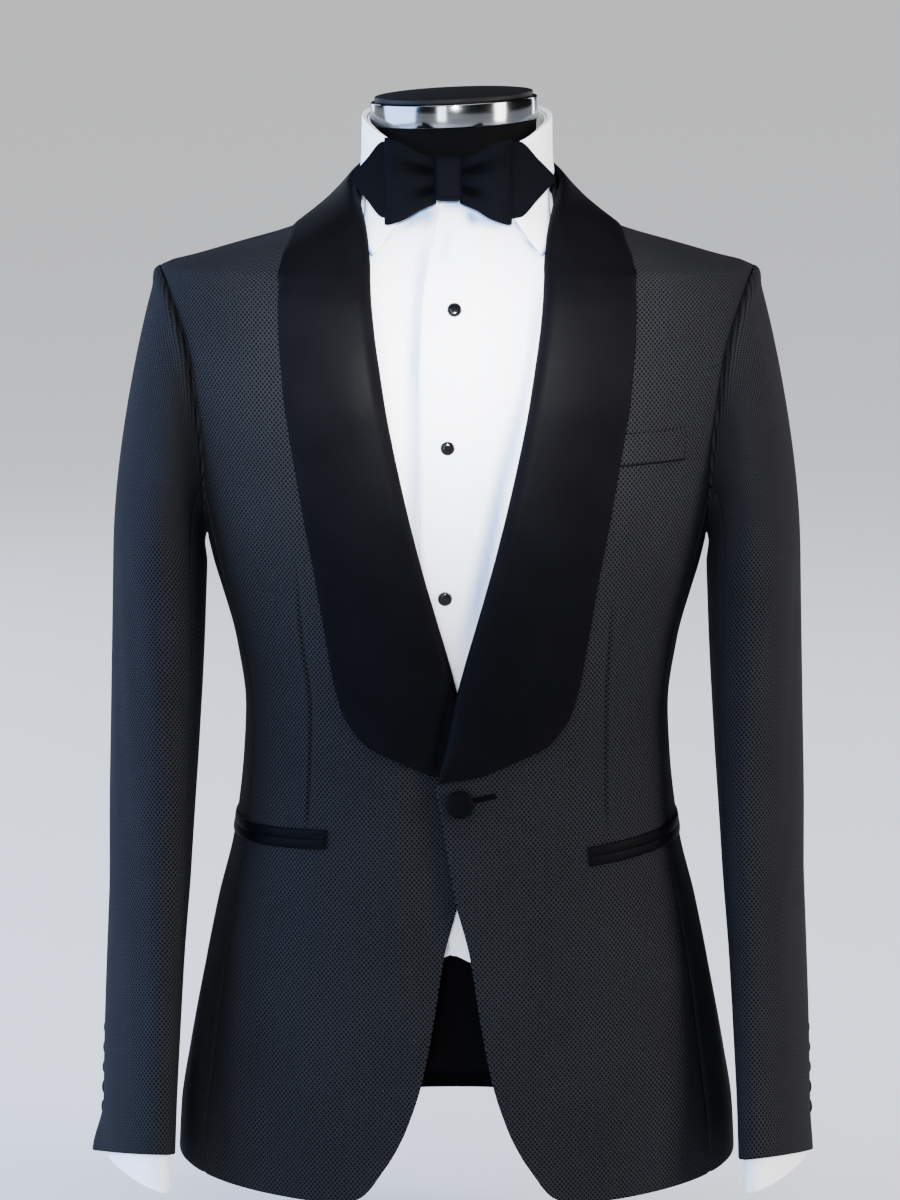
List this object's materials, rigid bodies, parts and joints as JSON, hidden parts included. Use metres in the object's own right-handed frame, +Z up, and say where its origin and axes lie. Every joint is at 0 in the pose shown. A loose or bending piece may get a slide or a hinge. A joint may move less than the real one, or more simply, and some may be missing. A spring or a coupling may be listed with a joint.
{
  "type": "tuxedo jacket with dress shirt and bow tie on a limbless dress form",
  "caption": "Shawl-collar dinner jacket with satin lapels, buttoned over a white studded dress shirt and black bow tie, on a limbless dress form with a plate stand.",
  "frame": {"origin": "centre of the underside of the stand's base plate, under the middle of the dress form", "axes": "+X towards the wearer's left, -Y towards the front of the jacket, +Z up"},
  "size_m": [0.548, 0.2561, 0.9111],
  "materials": {
    "wool_cloth": "matte woven",
    "black_satin": "satin",
    "bow_silk": "matte silk",
    "white_cotton": "matte",
    "stud_onyx": "gloss",
    "form_jersey": "matte",
    "polished_steel": "polished",
    "cap_plastic": "matte"
  },
  "bodies": {
    "root": {"jacket_front_l": "wool_cloth", "jacket_side_l": "wool_cloth", "jacket_back_l": "wool_cloth", "jacket_sleeve_top_l": "wool_cloth", "jacket_sleeve_under_l": "wool_cloth", "shawl_collar_l": "black_satin", "hip_pocket_upper_jet_l": "black_satin", "hip_pocket_lower_jet_l": "black_satin", "shirt_front_l": "white_cotton", "shirt_back_l": "white_cotton", "shirt_sleeve_top_l": "white_cotton", "shirt_sleeve_under_l": "white_cotton", "shirt_cuff_l": "white_cotton", "sleeve_button_l_1": "black_satin", "sleeve_button_l_2": "black_satin", "sleeve_button_l_3": "black_satin", "sleeve_button_l_4": "black_satin", "sleeve_button_l_5": "black_satin", "bow_tie_loop_l": "bow_silk", "bow_tie_end_l": "bow_silk", "stand_post_l": "polished_steel", "jacket_front_r": "wool_cloth", "jacket_side_r": "wool_cloth", "jacket_back_r": "wool_cloth", "jacket_sleeve_top_r": "wool_cloth", "jacket_sleeve_under_r": "wool_cloth", "shawl_collar_r": "black_satin", "hip_pocket_upper_jet_r": "black_satin", "hip_pocket_lower_jet_r": "black_satin", "shirt_front_r": "white_cotton", "shirt_back_r": "white_cotton", "shirt_sleeve_top_r": "white_cotton", "shirt_sleeve_under_r": "white_cotton", "shirt_cuff_r": "white_cotton", "sleeve_button_r_1": "black_satin", "sleeve_button_r_2": "black_satin", "sleeve_button_r_3": "black_satin", "sleeve_button_r_4": "black_satin", "sleeve_button_r_5": "black_satin", "bow_tie_loop_r": "bow_silk", "bow_tie_end_r": "bow_silk", "stand_post_r": "polished_steel", "under_collar": "wool_cloth", "breast_pocket_welt": "wool_cloth", "shirt_collar_stand": "white_cotton", "shirt_collar": "white_cotton", "bow_tie_band": "bow_silk", "bow_tie_knot": "bow_silk", "front_button": "black_satin", "shirt_stud_1": "stud_onyx", "shirt_stud_2": "stud_onyx", "shirt_stud_3": "stud_onyx", "form_torso": "form_jersey", "form_neck_ring": "polished_steel", "stand_base": "polished_steel", "form_cap": "cap_plastic"}
  },
  "joints": []
}
